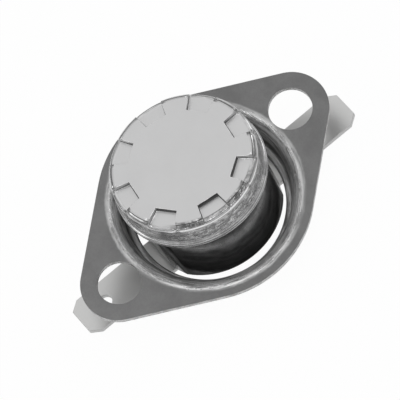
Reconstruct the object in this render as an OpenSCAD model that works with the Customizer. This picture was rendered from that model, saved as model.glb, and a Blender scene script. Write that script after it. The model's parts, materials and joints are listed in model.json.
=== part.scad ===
// Bimetal disc thermostat with a loose mounting ring, two flat terminals and a stamped metal cap.
// Millimetres. Z is parallel to the axis of the round body, with the sensing face up and the underside
// on Z = 0. It runs through the middle of the ring, and the body's axis lies behind it at y = -ring_shift.
// X runs through the two screw holes of the ring. The body is turned against the ring by body_angle.
// The ring is loose. It lies rocked by ring_tilt: its lip rests on the edge of a terminal and on the
// ground in front, and leans on the body's wall behind.
// Skilful features: the mounting ring is one sheet of constant thickness, pressed into a dish with
// tangent bends between its outline and its lip, and each staked pad of the cap is sunk outside and
// stands out by the same depth inside, where it holds down the rim of the bimetal disc.

/* [Body] */
// Height of the sensing face above the underside
total_height = 11.95; // [11.8:0.05:12.4]
// Turn of the body and its terminals against the ring's hole line, in degrees
body_angle = -7.1; // [-20:0.1:20]
// Radius of the black body wall
base_radius = 7.4; // [7.3:0.01:7.42]
// Height of the lower edge of the black wall above the underside
wall_bottom = 1.95; // [1.8:0.05:2.4]
// Distance of the two flats at the terminals from the axis
flat_distance = 6.65; // [6.4:0.05:6.9]
// Width between the corners where the flats meet the round wall
flat_width = 10.6; // [10:0.1:10.8]
// Height of the full round band over the two flats
flat_drop = 0.6; // [0.3:0.05:1]
// Radius of the foot under the wall
foot_radius = 6.4; // [6.1:0.05:6.7]
// Radius of the contact chamber
chamber_radius = 5.7; // [5.6:0.02:5.8]
// Height of the floor of the contact chamber
floor_height = 3; // [2.8:0.05:3.1]
// Width of the barrier rib between the terminals
barrier_width = 1.2; // [0.8:0.1:1.4]
// Length of the barrier rib
barrier_length = 10.8; // [10:0.1:11.4]

/* [Cap] */
// Radius of the cap's side wall
cap_radius = 7.5; // [7.45:0.01:7.6]
// Thickness of the cap's side wall
cap_wall = 0.45; // [0.4:0.01:0.5]
// Thickness of the cap's face
cap_face = 0.6; // [0.5:0.02:0.65]
// Depth of the cap from its face to its rolled edge
cap_depth = 3.62; // [3.4:0.02:3.8]
// How far the rolled bead stands out from the side wall
bead_rise = 0.27; // [0.2:0.01:0.3]
// Radius of the bead's upper roll
bead_section = 0.3; // [0.26:0.01:0.34]
// Radius of the bead's lower roll, where the edge turns in under the body's rim
edge_section = 0.2; // [0.16:0.01:0.22]
// Radius of the rounding round the face
face_rounding = 0.72; // [0.5:0.02:0.8]
// Number of staked pads in the face
pad_count = 8; // [6:1:9]
// Depth of the staked pads
pad_depth = 0.45; // [0.3:0.01:0.5]
// Distance of the pads' inner edges from the axis
pad_inner = 5.4; // [5.2:0.05:5.8]
// Half of the angle that one pad covers, in degrees
pad_half_angle = 11.5; // [8:0.5:14]
// Radius of the rounding at the pads' outer edges
pad_edge = 0.3; // [0.1:0.02:0.4]
// Turn of the pads against the terminals, in degrees
pad_turn = -8.1; // [-22:0.1:22]

/* [Mounting ring] */
// Distance between the two screw holes
hole_spacing = 24; // [23.4:0.1:25]
// Radius of the screw holes
hole_radius = 2.2; // [1.7:0.05:2.4]
// Radius of the rounded ends
ring_end_radius = 3.85; // [3.6:0.05:4.2]
// Radius of the round middle
ring_mid_radius = 10.65; // [10.4:0.05:11.4]
// Thickness of the ring's sheet
ring_sheet = 0.6; // [0.5:0.02:0.7]
// Depth of the dish between the ring's flat and its lip
dish_depth = 3; // [2.7:0.05:3.2]
// Distance from the axis at which the flat turns down into the dish
dish_radius = 9.55; // [9.4:0.05:9.65]
// Radius of the dish's upper bend, on the seen side
dish_bend = 1.2; // [1:0.05:1.25]
// Radius of the dish's lower bend, on the seen side
lip_bend = 0.3; // [0.2:0.02:0.4]
// Radius of the ring's middle hole
lip_radius = 7.56; // [7.54:0.01:7.66]
// Rounding of the lip's upper edge at the middle hole
lip_edge = 0.2; // [0.1:0.01:0.25]
// Play between the ring and what it lies on and leans on
ring_play = 0.04; // [0.03:0.01:0.06]
// Slope at which the loose ring lies, in degrees
ring_tilt = 12; // [11:0.5:13]

/* [Terminals] */
// Thickness of the terminal stampings
terminal_sheet = 0.5; // [0.4:0.02:0.6]
// Distance of the terminals' tips from the axis
tab_reach = 16.85; // [16:0.05:18]
// Width of the tabs
tab_width = 4.5; // [4.2:0.05:4.8]
// Length of the two corner cuts at a tab's tip
tip_cut_length = 1.05; // [0.6:0.05:1.4]
// Width of the two corner cuts at a tab's tip
tip_cut_width = 0.8; // [0.5:0.05:1.1]
// Radius of the tabs' detent holes
detent_radius = 0.7; // [0.5:0.05:0.9]
// Distance of the detent holes from the tabs' tips
detent_setback = 3.1; // [2.6:0.1:3.6]
// Distance of the rivets from the axis
rivet_distance = 4; // [3.95:0.01:4.05]
// Radius of the rivets' shanks
rivet_radius = 1; // [0.8:0.02:1.05]
// Radius of the rivets' lower heads
rivet_head_radius = 1.7; // [1.5:0.05:2]
// Height of the rivets' lower heads, which is also the drop of the barrier rib
rivet_head_height = 0.46; // [0.36:0.02:0.56]

/* [Switch] */
// Radius of the bimetal disc
disc_radius = 6.3; // [6.2:0.02:6.35]
// Thickness of the bimetal disc
disc_sheet = 0.2; // [0.16:0.01:0.24]
// Height of the bimetal disc's dome
disc_dome = 0.3; // [0.2:0.01:0.34]
// Room for the snapped disc over the guide's plate
disc_room = 0.4; // [0.36:0.01:0.45]
// Thickness of the disc guide's plate
guide_plate = 0.7; // [0.6:0.02:0.8]
// Radius of the push pin
pin_radius = 0.8; // [0.7:0.02:0.9]
// Radial play of the push pin in its guide
pin_play = 0.05; // [0.03:0.01:0.08]
// Gap between the cold disc and the push pin
pin_gap = 0.25; // [0.15:0.01:0.3]
// Room between the disc guide and the contact bracket
contact_room = 1.3; // [1.15:0.05:1.4]
// Thickness of the contact arm
arm_sheet = 0.2; // [0.16:0.01:0.24]
// Width of the contact arm
arm_width = 2.4; // [2.2:0.05:2.6]
// How far the contact arm rises from its root to its contact
arm_rise = 0.75; // [0.6:0.01:0.8]
// Distance from the axis at which the contact arm leaves its post
arm_pivot = 2.6; // [2.5:0.02:2.64]
// Distance from the axis at which the contact arm's level tip starts
arm_level = 2.9; // [2.7:0.02:3]
// Distance of the contacts from the axis
contact_distance = 3.9; // [3.7:0.02:4]
// Radius of the moving contact
contact_radius = 0.8; // [0.7:0.02:0.9]
// Thickness of the contact bracket
bracket_sheet = 0.5; // [0.4:0.02:0.55]

/* [Hidden] */
$fn = 96;
terminal_top = rivet_head_height + terminal_sheet;
ring_top = ring_sheet / 2;
lip_top = ring_top - dish_depth;
lip_under = lip_top - ring_sheet;
wall_inside = dish_radius - dish_bend;
ring_shift = base_radius + ring_play - lip_radius * cos(ring_tilt) + lip_top * sin(ring_tilt);
lip_shift = ring_shift - lip_under * sin(ring_tilt);
tab_edge = tab_width / 2 + (wall_inside - lip_bend) * sin(abs(body_angle));
lip_fall = (wall_inside - lip_bend) * sin(ring_tilt) + (lip_bend + ring_sheet) * (1 - cos(ring_tilt));
lip_on_tab = terminal_top + ring_play + (tab_edge + lip_shift) * tan(ring_tilt);
ring_height = max(lip_on_tab, lip_fall + 0.005) - lip_under * cos(ring_tilt);
lean = (ring_mid_radius - ring_end_radius) / (hole_spacing / 2);
across = sqrt(1 - lean * lean);
fit = 0.05;
cap_inside = cap_radius - cap_wall;
cap_edge = total_height - cap_depth;
bead_middle = cap_edge + 2 * edge_section + bead_section - 0.14;
bead_axis = cap_radius + bead_rise - bead_section;
edge_axis = cap_radius + bead_rise - 0.06 - edge_section;
rim_radius = cap_inside - fit;
neck_radius = rim_radius - 0.15;
rim_bottom = cap_edge + 0.36;
shoulder = cap_edge - 0.1;
flat_top = shoulder - flat_drop;
face_under = total_height - cap_face;
pad_under = face_under - pad_depth;
pad_under_edge = pad_inner - 0.2;
disc_seat = pad_under - fit - disc_sheet - disc_dome * (1 - pow(pad_under_edge / disc_radius, 2));
guide_top = disc_seat - disc_room;
guide_bottom = guide_top - guide_plate;
arm_slope = arm_rise / (arm_pivot + arm_level);
bracket_under = guide_bottom - contact_room - bracket_sheet;
contact_face = bracket_under - 0.5;
arm_tip_top = contact_face - 0.4;
arm_root_top = arm_tip_top - arm_rise;
post_height = arm_root_top - arm_sheet;
pin_top = disc_seat + disc_dome - pin_gap;
pin_bottom = arm_root_top + arm_slope * arm_pivot + 0.02;
hole_play = rivet_radius + fit;
washer_sheet = 0.3;
upper_head = 0.5;
shank = 0.4;
contact_play = 0.01;
bracket_foot_top = floor_height + bracket_sheet;
bracket_width = 2 * contact_radius + 0.3;
bracket_side = 2.25;

// shared shapes

// places a part of the body: the ring's middle is on Z, and the body's axis is behind it
module turned() {
    translate([0, -ring_shift, 0]) rotate([0, 0, body_angle]) children();
}

// a plain round solid between two heights
module disc_between(r, low, high) {
    translate([0, 0, low]) cylinder(r = r, h = high - low);
}

// one wedge of the cap's face, from the inner edge outwards
module pad_wedge(inner, half) {
    outer = cap_radius + 1;
    polygon([
        [inner, -inner * tan(half)],
        [outer, -outer * tan(half)],
        [outer, outer * tan(half)],
        [inner, inner * tan(half)]
    ]);
}

module pads(inner, half) {
    for (i = [0 : pad_count - 1])
        rotate([0, 0, pad_turn + i * 360 / pad_count]) pad_wedge(inner, half);
}

// cap

module cap_profile() {
    difference() {
        union() {
            translate([0, bead_middle]) square([cap_radius, total_height - face_rounding - bead_middle]);
            square_top = total_height - face_rounding;
            translate([0, square_top]) square([cap_radius - face_rounding, face_rounding]);
            translate([cap_radius - face_rounding, square_top]) circle(r = face_rounding);
            translate([bead_axis, bead_middle]) circle(r = bead_section);
            translate([edge_axis, cap_edge + edge_section]) circle(r = edge_section);
            translate([neck_radius + fit, cap_edge])
                square([edge_axis - neck_radius - fit, bead_middle - cap_edge]);
        }
        translate([-1, rim_bottom - 0.04]) square([cap_inside + 1, face_under - rim_bottom + 0.04]);
        translate([-1, cap_edge - 1]) square([neck_radius + fit + 1, 2]);
    }
}

// what the staking tool presses away, with a rounded corner at the side wall
module pad_cut() {
    corner = total_height - pad_depth - pad_edge;
    difference() {
        translate([pad_inner / 2, corner])
            square([cap_radius + 1 - pad_inner / 2, pad_depth + pad_edge + 1]);
        translate([0, corner]) square([cap_radius - pad_edge, pad_edge]);
        translate([cap_radius - pad_edge, corner]) circle(r = pad_edge);
    }
}

module cap() {
    color([0.76, 0.76, 0.77]) turned() difference() {
        union() {
            rotate_extrude() cap_profile();
            translate([0, 0, pad_under]) linear_extrude(face_under - pad_under + 0.1) intersection() {
                pads(pad_under_edge, pad_half_angle + 1);
                circle(r = cap_inside + 0.1);
            }
        }
        intersection() {
            rotate_extrude() pad_cut();
            translate([0, 0, pad_under]) linear_extrude(total_height) pads(pad_inner, pad_half_angle);
        }
    }
}

// bimetal disc: a shallow dome, crown up when cold

module bimetal_disc() {
    bend = (disc_radius * disc_radius + disc_dome * disc_dome) / (2 * disc_dome);
    color([0.62, 0.6, 0.56]) turned() rotate_extrude() intersection() {
        translate([0, disc_seat + disc_dome - bend]) difference() {
            circle(r = bend + disc_sheet, $fn = 720);
            circle(r = bend, $fn = 720);
        }
        translate([0, disc_seat - 1]) square([disc_radius, 3]);
    }
}

// disc guide: centres the disc and leads the pin

module disc_guide() {
    color([0.32, 0.22, 0.15]) turned() difference() {
        union() {
            disc_between(rim_radius, guide_bottom, guide_top);
            difference() {
                disc_between(disc_radius, guide_top - 0.1, disc_seat);
                disc_between(disc_radius - 0.6, guide_top - 1, disc_seat + 1);
            }
            difference() {
                disc_between(rim_radius, guide_top - 0.1, pad_under);
                disc_between(disc_radius + 0.15, guide_top - 1, disc_seat + 1);
            }
            disc_between(pin_radius + 0.7, guide_bottom - 1, guide_bottom + 0.1);
        }
        disc_between(pin_radius + pin_play, guide_bottom - 2, guide_top + 2);
    }
}

// push pin: a ceramic rod with round ends

module push_pin() {
    color([0.93, 0.92, 0.88]) turned() rotate_extrude() intersection() {
        union() {
            translate([0, pin_bottom + pin_radius])
                square([pin_radius, pin_top - pin_bottom - 2 * pin_radius]);
            translate([0, pin_bottom + pin_radius]) circle(r = pin_radius);
            translate([0, pin_top - pin_radius]) circle(r = pin_radius);
        }
        translate([0, pin_bottom]) square([pin_radius, pin_top - pin_bottom]);
    }
}

// base: the black moulded body

module wall_outline(r) {
    side = flat_width / 2;
    intersection() {
        circle(r = r);
        polygon([
            [flat_distance, -2.6],
            [flat_distance, 2.6],
            [flat_distance - 0.95, side],
            [flat_distance - 0.95, 9],
            [0.95 - flat_distance, 9],
            [0.95 - flat_distance, side],
            [-flat_distance, 2.6],
            [-flat_distance, -2.6],
            [0.95 - flat_distance, -side],
            [0.95 - flat_distance, -9],
            [flat_distance - 0.95, -9],
            [flat_distance - 0.95, -side]
        ]);
    }
}

module base() {
    color([0.1, 0.1, 0.1]) turned() difference() {
        union() {
            difference() {
                union() {
                    translate([0, 0, wall_bottom]) linear_extrude(flat_top - wall_bottom)
                        wall_outline(base_radius);
                    translate([0, 0, terminal_top]) linear_extrude(wall_bottom - terminal_top + 0.1)
                        wall_outline(foot_radius);
                    disc_between(base_radius, flat_top - 0.1, shoulder);
                    disc_between(neck_radius, shoulder - 0.1, rim_bottom + 0.1);
                    disc_between(rim_radius, rim_bottom, guide_bottom);
                }
                disc_between(chamber_radius, floor_height, guide_bottom + 1);
            }
            // post that carries the contact arm
            translate([0, 0, floor_height - 0.1]) linear_extrude(post_height - floor_height + 0.1)
                intersection() {
                    circle(r = chamber_radius + 0.1);
                    translate([arm_pivot + 0.02, -1.8]) square([6, 3.6]);
                }
            // barrier between the two terminals
            translate([-barrier_width / 2, -barrier_length / 2, 0])
                cube([barrier_width, barrier_length, terminal_top + 0.1]);
        }
        for (side = [-1, 1])
            translate([side * rivet_distance, 0, 0]) disc_between(hole_play, -1, post_height + 1);
    }
}

// switch parts inside the chamber

// the arm from the side: level root on its post, sloping leaf, level tip
module arm_side() {
    tip = contact_distance + contact_radius + 0.1;
    root = rivet_distance + rivet_radius + 0.4;
    polygon([
        [root, post_height],
        [arm_pivot, post_height],
        [-arm_level, post_height + arm_rise],
        [-tip, post_height + arm_rise],
        [-tip, arm_tip_top],
        [-arm_level, arm_tip_top],
        [arm_pivot, arm_root_top],
        [root, arm_root_top]
    ]);
}

// the arm from above: it narrows towards its contact
module arm_plan() {
    difference() {
        half = arm_width / 2;
        tip_half = contact_radius + 0.1;
        polygon([
            [rivet_distance + 3, -half],
            [rivet_distance + 3, half],
            [-arm_level + 1, half],
            [-contact_distance - 3, tip_half - 0.2],
            [-contact_distance - 3, 0.2 - tip_half],
            [-arm_level + 1, -half]
        ]);
        translate([rivet_distance, 0]) circle(r = hole_play);
        translate([-contact_distance, 0]) circle(r = shank + fit);
    }
}

module contact_arm() {
    color([0.78, 0.6, 0.4]) turned() intersection() {
        rotate([90, 0, 0]) translate([0, 0, -arm_width]) linear_extrude(2 * arm_width) arm_side();
        linear_extrude(guide_bottom) arm_plan();
    }
}

module arm_washer() {
    color([0.7, 0.7, 0.7]) turned() translate([rivet_distance, 0, arm_root_top]) difference() {
        cylinder(r = rivet_radius + 0.34, h = washer_sheet);
        disc_between(hole_play, -1, 2);
    }
}

// a contact rivet that points up or down from its sheet
module contact_rivet(head_r, head_h, sheet) {
    cylinder(r = head_r, h = head_h);
    disc_between(shank, -sheet - 0.1, 0.1);
    disc_between(shank + 0.2, -sheet - 0.15, -sheet);
}

module moving_contact() {
    color([0.85, 0.85, 0.84]) turned() translate([-contact_distance, 0, arm_tip_top])
        contact_rivet(contact_radius, contact_face - arm_tip_top - contact_play, arm_sheet);
}

module fixed_contact() {
    color([0.85, 0.85, 0.84]) turned() translate([-contact_distance, 0, bracket_under])
        rotate([180, 0, 0])
            contact_rivet(contact_radius + 0.1, bracket_under - contact_face, bracket_sheet);
}

module contact_bracket() {
    start = -rivet_distance - 1;
    web = bracket_under - floor_height + bracket_sheet;
    color([0.74, 0.62, 0.36]) turned() difference() {
        union() {
            translate([start, -1.5, floor_height])
                cube([bracket_width + 0.2, bracket_side + 1.5, bracket_sheet]);
            translate([start + 0.2, bracket_side - bracket_sheet, floor_height])
                cube([bracket_width, bracket_sheet, web]);
            translate([start + 0.2, -contact_radius - 0.4, bracket_under])
                cube([bracket_width, bracket_side + contact_radius + 0.4, bracket_sheet]);
        }
        translate([-rivet_distance, 0, 0])
            disc_between(hole_play, floor_height - 1, bracket_foot_top + 1);
        translate([-contact_distance, 0, 0])
            disc_between(shank + fit, bracket_under - 1, bracket_under + 2);
    }
}

// rivets that hold the terminals and carry the current

module rivet(seat, head_r) {
    rotate_extrude() polygon([
        [0, 0],
        [rivet_head_radius - 0.15, 0],
        [rivet_head_radius, 0.15],
        [rivet_head_radius, rivet_head_height],
        [rivet_radius, rivet_head_height],
        [rivet_radius, seat],
        [head_r, seat],
        [head_r, seat + upper_head - 0.2],
        [head_r - 0.2, seat + upper_head],
        [0, seat + upper_head]
    ]);
}

module rivet_left() {
    color([0.72, 0.66, 0.5]) turned() translate([-rivet_distance, 0, 0])
        rivet(bracket_foot_top, rivet_radius + 0.5);
}

module rivet_right() {
    color([0.72, 0.66, 0.5]) turned() translate([rivet_distance, 0, 0])
        rivet(arm_root_top + washer_sheet, rivet_radius + 0.3);
}

// terminals: a straight strip, round about its rivet, with a detent hole near its tip

module terminal() {
    translate([0, 0, rivet_head_height]) linear_extrude(terminal_sheet) difference() {
        union() {
            translate([rivet_distance, 0]) circle(r = tab_width / 2);
            polygon([
                [rivet_distance, -tab_width / 2],
                [tab_reach - tip_cut_length, -tab_width / 2],
                [tab_reach, tip_cut_width - tab_width / 2],
                [tab_reach, tab_width / 2 - tip_cut_width],
                [tab_reach - tip_cut_length, tab_width / 2],
                [rivet_distance, tab_width / 2]
            ]);
        }
        translate([rivet_distance, 0]) circle(r = hole_play);
        translate([tab_reach - detent_setback, 0]) circle(r = detent_radius);
    }
}

module terminal_left() {
    color([0.72, 0.72, 0.7]) turned() rotate([0, 0, 180]) terminal();
}

module terminal_right() {
    color([0.72, 0.72, 0.7]) turned() terminal();
}

// mounting ring: flat plate with rounded ends and a pressed dish

module ring_outline() {
    half = hole_spacing / 2;
    union() {
        circle(r = ring_mid_radius);
        for (side = [-1, 1]) translate([side * half, 0]) circle(r = ring_end_radius);
        polygon([
            [half + ring_end_radius * lean, ring_end_radius * across],
            [ring_mid_radius * lean, ring_mid_radius * across],
            [-ring_mid_radius * lean, ring_mid_radius * across],
            [-half - ring_end_radius * lean, ring_end_radius * across],
            [-half - ring_end_radius * lean, -ring_end_radius * across],
            [-ring_mid_radius * lean, -ring_mid_radius * across],
            [ring_mid_radius * lean, -ring_mid_radius * across],
            [half + ring_end_radius * lean, -ring_end_radius * across]
        ]);
    }
}

// section of the sheet from the flat down to the lip
module dish_profile() {
    bend_top = ring_top - dish_bend;
    bend_low = lip_top + lip_bend;
    // upper bend
    intersection() {
        translate([dish_radius, bend_top]) difference() {
            circle(r = dish_bend);
            circle(r = dish_bend - ring_sheet);
        }
        translate([wall_inside, bend_top]) square([dish_bend, dish_bend]);
    }
    // upright wall
    translate([wall_inside, bend_low]) square([ring_sheet, bend_top - bend_low]);
    // lower bend
    intersection() {
        translate([wall_inside - lip_bend, bend_low]) difference() {
            circle(r = lip_bend + ring_sheet);
            circle(r = lip_bend);
        }
        translate([wall_inside - lip_bend, lip_under])
            square([lip_bend + ring_sheet, bend_low - lip_under]);
    }
    // lip, with its upper edge rounded
    reach = wall_inside - lip_bend - lip_radius;
    translate([lip_radius, lip_under]) square([reach, ring_sheet - lip_edge]);
    translate([lip_radius + lip_edge, lip_under]) square([reach - lip_edge, ring_sheet]);
    translate([lip_radius + lip_edge, lip_top - lip_edge]) circle(r = lip_edge);
}

module mounting_ring() {
    color([0.5, 0.5, 0.5]) translate([0, 0, ring_height]) rotate([ring_tilt, 0, 0]) union() {
        translate([0, 0, ring_top - ring_sheet]) linear_extrude(ring_sheet) difference() {
            ring_outline();
            circle(r = dish_radius);
            for (side = [-1, 1]) translate([side * hole_spacing / 2, 0]) circle(r = hole_radius);
        }
        rotate_extrude() dish_profile();
    }
}

cap();
bimetal_disc();
disc_guide();
push_pin();
base();
contact_arm();
arm_washer();
moving_contact();
fixed_contact();
contact_bracket();
rivet_left();
rivet_right();
terminal_left();
terminal_right();
mounting_ring();
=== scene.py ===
import json
import math

import bmesh
import bpy
from mathutils import Matrix, Vector, noise

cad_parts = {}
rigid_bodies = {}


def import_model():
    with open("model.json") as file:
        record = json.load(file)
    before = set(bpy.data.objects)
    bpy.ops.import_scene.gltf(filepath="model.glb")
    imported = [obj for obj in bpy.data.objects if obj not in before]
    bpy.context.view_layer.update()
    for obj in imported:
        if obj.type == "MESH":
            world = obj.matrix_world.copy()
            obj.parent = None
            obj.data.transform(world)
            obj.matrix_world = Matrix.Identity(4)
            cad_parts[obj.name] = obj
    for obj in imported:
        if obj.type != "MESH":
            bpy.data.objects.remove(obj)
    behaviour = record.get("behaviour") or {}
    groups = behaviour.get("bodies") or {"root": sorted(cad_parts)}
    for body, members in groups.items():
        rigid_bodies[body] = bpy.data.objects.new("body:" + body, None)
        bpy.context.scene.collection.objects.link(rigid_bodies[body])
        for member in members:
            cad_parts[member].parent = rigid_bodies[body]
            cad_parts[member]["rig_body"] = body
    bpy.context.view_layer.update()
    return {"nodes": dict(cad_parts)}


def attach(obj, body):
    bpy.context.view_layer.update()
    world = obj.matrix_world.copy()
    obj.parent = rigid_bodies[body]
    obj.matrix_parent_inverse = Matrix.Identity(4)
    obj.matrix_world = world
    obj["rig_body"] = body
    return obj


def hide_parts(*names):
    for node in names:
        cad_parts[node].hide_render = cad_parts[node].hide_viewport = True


bl_info = {
    "name": "Bimetal disc thermostat",
    "version": (1, 0, 0),
    "blender": (4, 5, 0),
    "location": "View3D > Sidebar > Thermostat",
    "description": "Finishes, fine shapes and studio of a snap disc thermostat",
    "category": "Object",
}

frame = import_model()

# Places on the part, in millimetres and radians

MM = 0.001
BODY_AXIS = (0.0, 0.5162, 0.0)
CAP_RADIUS = 7.5
FACE_HEIGHT = 11.95
PAD_FLOOR = 11.5
# where the face starts to round over into the side wall
SHOULDER_RADIUS = 6.85
# direction of the cap's torn side, and the distances from the axis that way where the tearing
# starts and is full
TORN_SIDE = math.radians(-100)
TORN_REACH = (4.4, 5.8)
# the loose ring: its middle, its slope and where its flat turns down into the dish
RING_MIDDLE = (0.0, 0.0, 4.954)
RING_TILT = math.radians(12)
DISH_RADIUS = 9.55

# Easing of sharp edges

# distance under which two points are one, and angle under which two faces are one
SAME_POINT = 0.001 * MM
SAME_PLANE = math.radians(0.05)
# steps across an eased edge, and the angle from which an edge is shown sharp
EASING_STEPS = 4
SHARP_ANGLE = math.radians(50)


# Shader building


class Signal:
    """One value or colour of a node graph. Sums and products of signals add their Math nodes."""

    def __init__(self, graph, socket):
        self.graph = graph
        self.socket = socket

    def maths(self, operation, first, second):
        return self.graph.add("ShaderNodeMath", {"operation": operation}, {0: first, 1: second})

    def __add__(self, other):
        return self.maths("ADD", self, other)

    __radd__ = __add__

    def __mul__(self, other):
        return self.maths("MULTIPLY", self, other)

    __rmul__ = __mul__

    def __sub__(self, other):
        return self.maths("SUBTRACT", self, other)

    def __rsub__(self, other):
        return self.maths("SUBTRACT", other, self)

    def larger(self, other):
        return self.maths("MAXIMUM", self, other)


class Graph:
    """A node tree, and short ways to add the nodes of a finish or of the studio's sky."""

    def __init__(self, tree):
        self.tree = tree

    def add(self, kind, settings=None, inputs=None, output=0):
        """One node of any kind: its settings first, then the values or links of its sockets."""
        node = self.tree.nodes.new(kind)
        for key, value in (settings or {}).items():
            setattr(node, key, value)
        for key, value in (inputs or {}).items():
            if isinstance(value, Signal):
                self.tree.links.new(value.socket, node.inputs[key])
            else:
                node.inputs[key].default_value = value
        return Signal(self, node.outputs[output])

    def vector(self, operation, first, second=None, output="Vector"):
        """A Vector Math node."""
        inputs = {0: first} if second is None else {0: first, 1: second}
        return self.add("ShaderNodeVectorMath", {"operation": operation}, inputs, output)

    def noise(self, place, scale, detail=3.0, roughness=0.5):
        """Noise from 0 to 1, about 0.5 on average."""
        return self.add(
            "ShaderNodeTexNoise",
            {"noise_dimensions": "3D"},
            {"Vector": place, "Scale": scale, "Detail": detail, "Roughness": roughness},
            "Fac",
        )

    def between(self, signal, low, high, to_low=0.0, to_high=1.0):
        """The signal spread from one span onto another, held at both ends."""
        return self.add(
            "ShaderNodeMapRange",
            {"clamp": True, "interpolation_type": "SMOOTHSTEP"},
            {0: signal, 1: low, 2: high, 3: to_low, 4: to_high},
        )

    def mix(self, factor, first, second):
        """A colour between two others."""
        return self.add(
            "ShaderNodeMix",
            {"data_type": "RGBA", "blend_type": "MIX"},
            {0: factor, 6: first, 7: second},
            2,
        )


class Finish(Graph):
    """A material with one Principled shader. Its lengths are millimetres, from the piece's axis."""

    def __init__(self, name, centre=BODY_AXIS, tilt=0.0, **constants):
        self.material = bpy.data.materials.new(name)
        self.material.use_nodes = True
        super().__init__(self.material.node_tree)
        self.shader = self.tree.nodes["Principled BSDF"]
        for socket, value in constants.items():
            self.shader.inputs[socket.replace("_", " ")].default_value = value
        self.place = self.add(
            "ShaderNodeMapping",
            {"vector_type": "TEXTURE"},
            {
                "Vector": self.add("ShaderNodeTexCoord", output="Object"),
                "Location": [length * MM for length in centre],
                "Rotation": (tilt, 0, 0),
                "Scale": (MM, MM, MM),
            },
        )

    def radius(self):
        """Distance from the axis."""
        return self.vector("LENGTH", self.vector("MULTIPLY", self.place, (1, 1, 0)), None, "Value")

    def height(self):
        """Height above the centre."""
        return self.add("ShaderNodeSeparateXYZ", None, {0: self.place}, "Z")

    def turned_lines(self, per_mm, round_the_axis=3.0, detail=3.0):
        """Noise in lines that run round the axis, as a drawing or rolling tool leaves."""
        outwards = self.vector("NORMALIZE", self.vector("MULTIPLY", self.place, (1, 1, 0)))
        across = self.radius() * per_mm + self.height() * per_mm
        lift = self.add("ShaderNodeCombineXYZ", None, {2: across})
        along = self.vector("MULTIPLY", outwards, (round_the_axis,) * 3)
        return self.noise(self.vector("ADD", along, lift), 1.0, detail, 0.6)

    def band(self, signal, low, high, soft):
        """One inside a span and nothing outside it."""
        rise = self.between(signal, low - soft, low + soft)
        return rise * self.between(signal, high - soft, high + soft, 1.0, 0.0)

    def mark(self, name):
        """A mark that a shape carries on its faces, one or nothing."""
        return self.add("ShaderNodeAttribute", {"attribute_name": name}, output="Fac")

    def towards(self, azimuth):
        """Distance from the axis in one direction."""
        way = (math.cos(azimuth), math.sin(azimuth), 0)
        return self.vector("DOT_PRODUCT", self.place, way, "Value")

    def vary(self, socket, signal):
        """Leads a signal into one of the shader's sockets."""
        self.tree.links.new(signal.socket, self.shader.inputs[socket])

    def colour(self, signal):
        self.vary("Base Color", signal)

    def rough(self, signal):
        self.vary("Roughness", signal)

    def bump(self, relief):
        """Raises the surface by the relief, which is in millimetres."""
        normal = self.add(
            "ShaderNodeBump",
            None,
            {"Height": relief * MM, "Distance": 1.0, "Strength": 1.0},
            "Normal",
        )
        self.tree.links.new(normal.socket, self.shader.inputs["Normal"])


def shade(level):
    """An opaque grey of one level."""
    return (level, level, level, 1.0)


def tint(colour, level=1.0):
    """A colour setting as an opaque colour, lightened or darkened by a factor."""
    return (*[min(1.0, channel * level) for channel in colour], 1.0)


def dress(nodes, finish):
    """Gives carried-over nodes their finish."""
    for node in nodes:
        slots = frame["nodes"][node].data.materials
        slots.clear()
        slots.append(finish.material)


def tidy_up(shape):
    """Takes out doubled points and faces without an area."""
    bmesh.ops.remove_doubles(shape, verts=shape.verts, dist=SAME_POINT)
    bmesh.ops.dissolve_degenerate(shape, dist=SAME_POINT, edges=shape.edges)


def ease(node, finish, width, sharp=SHARP_ANGLE, foot=None, upright=None, lengths=(0.0,)):
    """A piece in the node's form, with its sharp edges eased as far as the mesh leaves room.

    width, foot and lengths are millimetres, and foot is the width of the easing in inner corners.
    The shortest edge narrows the easing of all that are eased with it. So the edges over the
    first of lengths come before the others, and are eased to their full width. The eased outer
    corners carry a mark for wear and a painted highlight, and the faces that upright picks, by
    their middle in millimetres and their direction, are marked as cut.
    """
    shape = bmesh.new()
    shape.from_mesh(frame["nodes"][node].data)
    tidy_up(shape)
    bmesh.ops.dissolve_limit(
        shape, angle_limit=SAME_PLANE, verts=shape.verts, edges=shape.edges
    )
    cut = shape.faces.layers.float.new("cut")
    wear_and_glint = shape.faces.layers.float.new("wear_and_glint")
    passes = [(over, inner) for over in lengths for inner in (True, False)]
    for over, inner in passes:
        offset = foot if foot and inner else width
        corners = [
            edge for edge in shape.edges
            if edge.calc_face_angle(0) > sharp and edge.is_convex != inner
            and edge.calc_length() > over * MM
        ]
        eased = bmesh.ops.bevel(
            shape, geom=corners, offset=offset * MM, offset_type="OFFSET", affect="EDGES",
            segments=EASING_STEPS, profile=0.5, material=-1, clamp_overlap=over == 0,
        )
        for face in eased["faces"]:
            face[wear_and_glint] = 0.0 if inner else 1.0
    tidy_up(shape)
    for face in shape.faces:
        face.smooth = True
        face.material_index = 0
        if upright and upright(face.calc_center_median() / MM, face.normal):
            face[cut] = 1.0
    mesh = bpy.data.meshes.new(node + "_eased")
    shape.to_mesh(mesh)
    shape.free()
    mesh.set_sharp_from_angle(angle=SHARP_ANGLE)
    mesh.materials.append(finish.material)
    piece = bpy.data.objects.new(node + "_eased", mesh)
    bpy.context.scene.collection.objects.link(piece)
    level = piece.modifiers.new("level_faces", "WEIGHTED_NORMAL")
    level.mode = "FACE_AREA"
    level.weight = 100
    level.keep_sharp = True
    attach(piece, frame["nodes"][node]["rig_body"])
    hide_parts(node)
    return piece


# Settings


class CapSettings(bpy.types.PropertyGroup):
    """Finish of the stamped cap."""

    colour: bpy.props.FloatVectorProperty(
        name="Cap colour", description="Colour of the cap's matte metal", subtype="COLOR",
        default=(0.62, 0.62, 0.622), min=0, max=1,
    )
    roughness: bpy.props.FloatProperty(
        name="Cap roughness", description="Roughness of the cap's face", default=0.42, min=0, max=1,
    )


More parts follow.
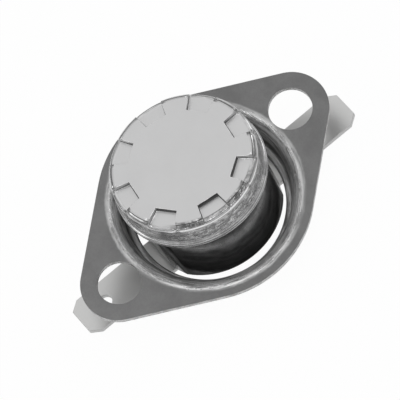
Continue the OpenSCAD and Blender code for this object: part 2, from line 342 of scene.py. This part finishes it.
class RingSettings(bpy.types.PropertyGroup):
    """Finish of the mounting ring."""

    colour: bpy.props.FloatVectorProperty(
        name="Ring colour", description="Colour of the ring's dull plate", subtype="COLOR",
        default=(0.166, 0.166, 0.166), min=0, max=1,
    )
    # colour of wear and of the painted highlight on the dish's shoulder and the sheared edges
    wear_and_glint_colour: bpy.props.FloatVectorProperty(
        name="Worn colour", description="Colour of the sheet where the draw has worn it bright",
        subtype="COLOR", default=(0.6, 0.6, 0.6), min=0, max=1,
    )
    roughness: bpy.props.FloatProperty(
        name="Ring roughness", description="Roughness of the ring's sheet",
        default=0.42, min=0, max=1,
    )


class BaseSettings(bpy.types.PropertyGroup):
    """Finish of the black body."""

    colour: bpy.props.FloatVectorProperty(
        name="Body colour", description="Colour of the moulded body", subtype="COLOR",
        default=(0.005, 0.005, 0.005), min=0, max=1,
    )
    roughness: bpy.props.FloatProperty(
        name="Body roughness", description="Roughness of the moulded body",
        default=0.13, min=0, max=1,
    )


class TerminalSettings(bpy.types.PropertyGroup):
    """Finish of the terminals."""

    colour: bpy.props.FloatVectorProperty(
        name="Terminal colour", description="Colour of the tin plate", subtype="COLOR",
        default=(0.62, 0.62, 0.615), min=0, max=1,
    )
    roughness: bpy.props.FloatProperty(
        name="Terminal roughness", description="Roughness of the tin plate",
        default=0.4, min=0, max=1,
    )


class StageSettings(bpy.types.PropertyGroup):
    """Floor, lamps and camera."""

    azimuth: bpy.props.FloatProperty(
        name="Camera azimuth", description="Direction of the camera round the object",
        default=math.radians(-106.5), subtype="ANGLE",
    )
    elevation: bpy.props.FloatProperty(
        name="Camera elevation", description="Height of the camera over the horizon",
        default=math.radians(57.161), subtype="ANGLE",
    )
    roll: bpy.props.FloatProperty(
        name="Camera roll", description="Turn of the picture round the line of sight",
        default=math.radians(31.534), subtype="ANGLE",
    )
    distance: bpy.props.FloatProperty(
        name="Camera distance", description="Distance from the camera to its aim", default=0.47962,
        subtype="DISTANCE", unit="LENGTH",
    )
    lens: bpy.props.FloatProperty(
        name="Lens", description="Focal length on a 36 mm sensor", default=449.03,
    )
    aim: bpy.props.FloatVectorProperty(
        name="Aim", description="Point that the middle of the picture shows",
        default=(-0.001481, -0.002755, 0.009654), subtype="TRANSLATION", unit="LENGTH",
    )
    floor: bpy.props.FloatProperty(
        name="Floor size", description="Side of the pale floor", default=2.0, unit="LENGTH",
    )


# Operators


class THERMOSTAT_OT_cap(bpy.types.Operator):
    """Finish the stamped cap"""

    bl_idname = "thermostat.cap"
    bl_label = "Cap"

    def execute(self, context):
        colour = context.scene.thermostat_cap.colour
        roughness = context.scene.thermostat_cap.roughness
        metal = Finish("cap_metal", Metallic=1.0)
        radius, height = metal.radius(), metal.height()
        cloud = metal.noise(metal.place, 0.35, 4, 0.6)
        grain = metal.noise(metal.place, 6, 3, 0.65)
        peel = metal.noise(metal.place, 1.6, 4, 0.7)
        lines = metal.turned_lines(5.0, 4.0)
        # where the finishes lie: the drawn side wall and, on the near side, the torn shoulder, a
        # painted highlight on the rim under it, and darker patches on the side wall
        drawn = metal.between(radius, 6.95, 7.2)
        near = metal.between(metal.towards(TORN_SIDE), *TORN_REACH)
        outside = CAP_RADIUS + 0.1
        torn = metal.band(height, PAD_FLOOR - 0.02, FACE_HEIGHT - 0.01, 0.05) * near
        torn = torn * metal.band(radius, SHOULDER_RADIUS, outside, 0.06)
        # painted highlight: a lighter band on the rim under the torn shoulder, standing in for a
        # glint
        painted_rim_highlight = metal.band(height, PAD_FLOOR - 0.28, PAD_FLOOR - 0.06, 0.04) * near
        painted_rim_highlight = painted_rim_highlight * metal.band(radius, SHOULDER_RADIUS + 0.3, outside, 0.05)
        # the near side wall darker and bumpy in patches
        near_wall_patches = metal.band(height, 9.4, 11.1, 0.3) * near * metal.between(peel, 0.42, 0.6)
        # wear and a painted highlight: the eased outer corners lightened in broken specks, with the
        # painted rim highlight
        edge = (metal.mark("wear_and_glint") * metal.between(peel, 0.4, 0.6, 0.1, 0.6)).larger(painted_rim_highlight * 0.9)
        cut = metal.mark("cut")
        # each coat lies over the ones before it: where it shows, and how light it is
        coats = (
            (drawn * metal.between(lines, 0.4, 0.62), 0.6),
            (near_wall_patches * 0.75, 0.35),
            (torn * metal.between(peel, 0.43, 0.58, 0.8, 0.0), 0.2),
            (edge, 1.5),
            # painted shade: the walls of the pad steps made dark and less metallic, as shade in
            # their creases
            (cut, 0.14),
        )
        sheet = metal.mix(cloud, tint(colour, 0.96), tint(colour, 1.04))
        for share, level in coats:
            sheet = metal.mix(share, sheet, tint(colour, level))
        metal.colour(sheet)
        metal.vary("Metallic", 1 - cut * 0.9)
        face_rough = grain * 0.1 + (roughness - 0.05)
        side_rough = lines * 0.24 + 0.1
        metal.rough(face_rough * (1 - drawn) + side_rough * drawn)
        relief = grain * 0.002 + cloud * 0.004 + lines * drawn * 0.016
        metal.bump(relief + peel * torn * 0.1 + peel * near_wall_patches * 0.06)
        piece = ease(
            "cap", metal, 0.05, foot=0.12, upright=self.step_of_a_pad,
            lengths=(0.5, 0.0),
        )
        self.tear_shoulder(piece.data)
        return {"FINISHED"}

    def tear_shoulder(self, mesh):
        """Roughens the shoulder between the near pads, where the staking has torn the sheet."""
        deepest = 0.22 * MM
        shape = bmesh.new()
        shape.from_mesh(mesh)
        torn = [
            edge for edge in shape.edges
            if edge.calc_length() > 0.04 * MM
            and all(self.torn(corner.co) > 0 for corner in edge.verts)
        ]
        bmesh.ops.subdivide_edges(shape, edges=torn, cuts=3, use_grid_fill=True)
        shape.normal_update()
        for corner in shape.verts:
            share = self.torn(corner.co)
            if share > 0:
                rough = noise.turbulence(corner.co / MM, 3, True, noise_basis="PERLIN_ORIGINAL")
                corner.co -= corner.normal * share * min(rough, 1.0) * deepest
        tidy_up(shape)
        shape.to_mesh(mesh)
        shape.free()

    def torn(self, point):
        """How much a point belongs to the torn shoulder, from nothing to one."""
        from_axis = point / MM - Vector(BODY_AXIS)
        near = from_axis.x * math.cos(TORN_SIDE) + from_axis.y * math.sin(TORN_SIDE)
        start, full = TORN_REACH
        above_pads = (from_axis.z - PAD_FLOOR) / 0.08
        below_face = (FACE_HEIGHT - 0.01 - from_axis.z) / 0.08
        return max(0.0, min(1.0, (near - start) / (full - start), above_pads, below_face))

    def step_of_a_pad(self, middle, way):
        """Whether a face is part of the step round a pad or of the crease at its foot."""
        out = math.hypot(middle.x - BODY_AXIS[0], middle.y - BODY_AXIS[1])
        at_step = PAD_FLOOR - 0.05 < middle.z < FACE_HEIGHT - 0.06
        return abs(way.z) < 0.9 and at_step and out < CAP_RADIUS - 0.4


class THERMOSTAT_OT_ring(bpy.types.Operator):
    """Finish the mounting ring"""

    bl_idname = "thermostat.ring"
    bl_label = "Mounting ring"

    def execute(self, context):
        chosen = context.scene.thermostat_ring
        plate = Finish("ring_plate", RING_MIDDLE, RING_TILT, Metallic=1.0)
        radius = plate.radius()
        cloud = plate.noise(plate.place, 0.3, 5, 0.62)
        grain = plate.noise(plate.place, 8, 3, 0.6)
        breakup = plate.noise(plate.place, 1.6, 3, 0.6)
        lines = plate.turned_lines(3.2, 3.0)
        streaks = plate.between(lines, 0.38, 0.62)
        drawn = plate.between(radius, DISH_RADIUS - 0.05, DISH_RADIUS + 0.45, 1.0, 0.0)
        shoulder = plate.band(radius + breakup * 0.9, DISH_RADIUS - 0.25, DISH_RADIUS + 0.6, 0.3)
        # wear and a painted highlight: the shoulder of the dish lightened in broken streaks
        wear_and_glint = shoulder * plate.between(breakup + lines, 0.75, 1.2, 0.1, 0.75)
        mottle = plate.between(cloud * 0.7 + grain * 0.3, 0.35, 0.65)
        flat = plate.mix(mottle, tint(chosen.colour, 0.86), tint(chosen.colour, 1.08))
        polished = plate.mix(streaks, tint(chosen.colour, 1.5), tint(chosen.colour, 3.6))
        # painted shade: the deeper part of the dish darkened
        painted_dish_shade = plate.band(plate.height(), -2.5, -1.1, 0.4) * drawn * 0.75
        polished = plate.mix(painted_dish_shade, polished, tint(chosen.colour, 0.6))
        drawn_sheet = plate.mix(wear_and_glint, plate.mix(drawn, flat, polished), tint(chosen.wear_and_glint_colour))
        # burrs and a painted highlight: the sheared edges and eased corners lightened in specks
        tear = plate.between(grain * 0.6 + breakup * 0.4, 0.4, 0.58, 0.25, 0.8)
        burr_and_glint = plate.mark("cut").larger(plate.mark("wear_and_glint")) * tear
        plate.colour(plate.mix(burr_and_glint, drawn_sheet, tint(chosen.wear_and_glint_colour, 1.4)))
        flat_rough = cloud * 0.1 + (chosen.roughness - 0.05)
        plate.rough(flat_rough * (1 - drawn) + (lines * 0.2 + 0.34) * drawn - shoulder * 0.18)
        plate.vary("Metallic", 1 - drawn * 0.45)
        plate.bump(grain * 0.002 + cloud * 0.006 + lines * drawn * 0.03 + breakup * wear_and_glint * 0.04)
        # the outer edges stay sharp all the same, because the inner corners come first and leave
        # edges so short that nothing of this width is left for the others
        ease("mounting_ring", plate, 0.07, upright=self.sheared_edge)
        return {"FINISHED"}

    def sheared_edge(self, middle, way):
        """Whether a face is on the ring's outline or in a screw hole."""
        up = Vector((0, -math.sin(RING_TILT), math.cos(RING_TILT)))
        out = middle - Vector(RING_MIDDLE)
        distance = (out - up * out.dot(up)).length
        return abs(way.dot(up)) < 0.4 and distance > DISH_RADIUS + 0.35


class THERMOSTAT_OT_base(bpy.types.Operator):
    """Finish the moulded body"""

    bl_idname = "thermostat.base"
    bl_label = "Moulded body"

    def execute(self, context):
        chosen = context.scene.thermostat_base
        moulding = Finish("body_moulding", Metallic=0.0, IOR=2.0, Specular_IOR_Level=0.9)
        speck = moulding.noise(moulding.place, 2.5, 4, 0.6)
        swirl = moulding.noise(moulding.place, 0.4, 4, 0.6)
        moulding.colour(moulding.mix(speck, tint(chosen.colour, 0.7), tint(chosen.colour, 1.4)))
        moulding.rough(speck * 0.06 + swirl * 0.06 + (chosen.roughness - 0.06))
        moulding.bump(speck * 0.003 + swirl * 0.01)
        ease("base", moulding, 0.08, sharp=math.radians(25))
        return {"FINISHED"}


class THERMOSTAT_OT_terminals(bpy.types.Operator):
    """Finish the two terminals"""

    bl_idname = "thermostat.terminals"
    bl_label = "Terminals"

    def execute(self, context):
        chosen = context.scene.thermostat_terminals
        tin = Finish("terminal_tin", Metallic=1.0)
        cloud = tin.noise(tin.place, 0.5, 4, 0.6)
        grain = tin.noise(tin.place, 7, 3, 0.6)
        tin.colour(tin.mix(cloud, tint(chosen.colour, 0.95), tint(chosen.colour, 1.05)))
        tin.rough(grain * 0.1 + cloud * 0.06 + (chosen.roughness - 0.08))
        tin.bump(cloud * 0.003)
        ease("terminal_left", tin, 0.06)
        ease("terminal_right", tin, 0.06)
        return {"FINISHED"}


class THERMOSTAT_OT_inside(bpy.types.Operator):
    """Finish the rivets and the switch's inner pieces"""

    bl_idname = "thermostat.inside"
    bl_label = "Inner pieces"

    def execute(self, context):
        finishes = (
            ("bimetal_sheet", ["bimetal_disc"], (0.5, 0.48, 0.44), 1.0, 0.35),
            ("guide_moulding", ["disc_guide"], (0.06, 0.03, 0.02), 0.0, 0.45),
            ("pin_ceramic", ["push_pin"], (0.85, 0.84, 0.8), 0.0, 0.5),
            ("spring_alloy", ["contact_arm"], (0.8, 0.52, 0.33), 1.0, 0.3),
            ("bracket_brass", ["contact_bracket"], (0.8, 0.62, 0.3), 1.0, 0.32),
            ("contact_silver", ["moving_contact", "fixed_contact"], (0.85, 0.84, 0.82), 1.0, 0.25),
            ("washer_steel", ["arm_washer"], (0.55, 0.55, 0.55), 1.0, 0.35),
        )
        for name, nodes, colour, metallic, roughness in finishes:
            dress(nodes, self.mottle(name, colour, metallic, roughness))
        rivet = self.mottle("rivet_brass", (0.68, 0.62, 0.48), 1.0, 0.32)
        ease("rivet_left", rivet, 0.06)
        ease("rivet_right", rivet, 0.06)
        return {"FINISHED"}

    def mottle(self, name, colour, metallic, roughness):
        """A plain finish, a little uneven in colour and in gloss."""
        finish = Finish(name, Metallic=metallic)
        cloud = finish.noise(finish.place, 0.8, 4, 0.6)
        grain = finish.noise(finish.place, 8, 3, 0.6)
        finish.colour(finish.mix(cloud, tint(colour, 0.88), tint(colour, 1.12)))
        finish.rough(grain * 0.12 + (roughness - 0.06))
        finish.bump(grain * 0.003)
        return finish


# name, azimuth and elevation in degrees, distance and width in metres, radiance
LAMPS = (
    ("lamp_above", -95.0, 82.0, 0.6, 0.15, 7.5),
    ("lamp_behind", 76.0, 58.0, 0.8, 0.7, 0.32),
    ("lamp_right", 15.0, 28.0, 0.6, 0.3, 1.6),
    ("lamp_left", 150.0, 30.0, 0.6, 0.3, 1.6),
)


def spot(azimuth, elevation, distance):
    """A point at that distance from the origin, in that direction."""
    flat = math.cos(elevation)
    return distance * Vector(
        (flat * math.cos(azimuth), flat * math.sin(azimuth), math.sin(elevation))
    )


class THERMOSTAT_OT_stage(bpy.types.Operator):
    """Set up floor, lamps and camera"""

    bl_idname = "thermostat.stage"
    bl_label = "Stage"

    def execute(self, context):
        chosen = context.scene.thermostat_stage
        context.scene.view_settings.view_transform = "Standard"
        self.lay_floor(chosen.floor)
        self.light(context)
        self.aim_camera(context, chosen)
        return {"FINISHED"}

    def lay_floor(self, side):
        """A pale sheet just under the part, which the camera sees as white."""
        mesh = bpy.data.meshes.new("floor")
        sheet = bmesh.new()
        bmesh.ops.create_grid(sheet, x_segments=1, y_segments=1, size=side / 2)
        bmesh.ops.translate(sheet, verts=sheet.verts, vec=(0, 0, -0.02 * MM))
        sheet.to_mesh(mesh)
        sheet.free()
        floor = bpy.data.objects.new("floor", mesh)
        bpy.context.scene.collection.objects.link(floor)
        pale = Finish("floor_paper", Roughness=0.9)
        fibre = pale.noise(pale.place, 0.05, 4, 0.6)
        pale.colour(pale.mix(fibre, shade(0.84), shade(0.88)))
        ray = pale.add("ShaderNodeLightPath", output="Is Camera Ray")
        glossy = pale.add("ShaderNodeLightPath", output="Is Glossy Ray")
        glow = pale.add("ShaderNodeEmission", None, {"Color": shade(1.0), "Strength": 1.0})
        seen = pale.add(
            "ShaderNodeMixShader",
            None,
            {0: ray * 0.97 + glossy * 0.5, 1: Signal(pale, pale.shader.outputs[0]), 2: glow},
        )
        out = pale.tree.nodes["Material Output"]
        pale.tree.links.new(seen.socket, out.inputs["Surface"])
        mesh.materials.append(pale.material)

    def light(self, context):
        """A sky that brightens upwards, and the lamps, which face the part."""
        world = bpy.data.worlds.new("studio")
        world.use_nodes = True
        sky = Graph(world.node_tree)
        back = world.node_tree.nodes["Background"]
        back.inputs["Color"].default_value = shade(1.0)
        way = sky.add("ShaderNodeTexCoord", output="Generated")
        climb = sky.add("ShaderNodeSeparateXYZ", None, {0: way}, "Z")
        glow = sky.between(climb, 0.05, 0.75, 0.22, 0.66)
        camera_ray = sky.add("ShaderNodeLightPath", output="Is Camera Ray")
        level = glow * (1 - camera_ray) + camera_ray
        sky.tree.links.new(level.socket, back.inputs["Strength"])
        context.scene.world = world
        for name, azimuth, elevation, distance, size, radiance in LAMPS:
            lamp = bpy.data.lights.new(name, "AREA")
            lamp.shape = "DISK"
            lamp.size = size
            lamp.energy = radiance * math.pi * math.pi * size * size / 4
            lamp_object = bpy.data.objects.new(name, lamp)
            place = spot(math.radians(azimuth), math.radians(elevation), distance)
            lamp_object.location = place
            lamp_object.rotation_euler = place.to_track_quat("Z", "Y").to_euler()
            context.scene.collection.objects.link(lamp_object)

    def aim_camera(self, context, chosen):
        """The camera of the photograph, far away and with a long lens."""
        camera = bpy.data.cameras.new("camera")
        camera.sensor_width = 36
        camera.lens = chosen.lens
        camera.clip_start = 0.01
        camera_object = bpy.data.objects.new("camera", camera)
        away = spot(chosen.azimuth, chosen.elevation, 1.0)
        turn = away.to_track_quat("Z", "Y").to_matrix().to_4x4()
        turn = turn @ Matrix.Rotation(-chosen.roll, 4, "Z")
        place = Vector(chosen.aim) + away * chosen.distance
        camera_object.matrix_world = Matrix.Translation(place) @ turn
        context.scene.collection.objects.link(camera_object)
        context.scene.camera = camera_object


class THERMOSTAT_PT_panel(bpy.types.Panel):
    """Lists the settings and the pieces"""

    bl_idname = "THERMOSTAT_PT_panel"
    bl_label = "Thermostat"
    bl_space_type = "VIEW_3D"
    bl_region_type = "UI"
    bl_category = "Thermostat"

    def draw(self, context):
        layout = self.layout
        for group in GROUPS:
            chosen = getattr(context.scene, group)
            for key in chosen.bl_rna.properties.keys():
                if key not in ("name", "rna_type"):
                    layout.prop(chosen, key)
        for piece in PIECES:
            layout.operator(piece.bl_idname)


GROUPS = {
    "thermostat_cap": CapSettings,
    "thermostat_ring": RingSettings,
    "thermostat_base": BaseSettings,
    "thermostat_terminals": TerminalSettings,
    "thermostat_stage": StageSettings,
}
PIECES = (
    THERMOSTAT_OT_stage,
    THERMOSTAT_OT_cap,
    THERMOSTAT_OT_ring,
    THERMOSTAT_OT_base,
    THERMOSTAT_OT_terminals,
    THERMOSTAT_OT_inside,
)


def register():
    for group in GROUPS.values():
        bpy.utils.register_class(group)
    for piece in (*PIECES, THERMOSTAT_PT_panel):
        bpy.utils.register_class(piece)
    for name, group in GROUPS.items():
        setattr(bpy.types.Scene, name, bpy.props.PointerProperty(type=group))


def unregister():
    for name in GROUPS:
        delattr(bpy.types.Scene, name)
    for piece in (THERMOSTAT_PT_panel, *reversed(PIECES)):
        bpy.utils.unregister_class(piece)
    for group in GROUPS.values():
        bpy.utils.unregister_class(group)


def main():
    register()
    bpy.ops.thermostat.stage()
    bpy.ops.thermostat.cap()
    bpy.ops.thermostat.ring()
    bpy.ops.thermostat.base()
    bpy.ops.thermostat.terminals()
    bpy.ops.thermostat.inside()


if __name__ == "__main__":
    main()
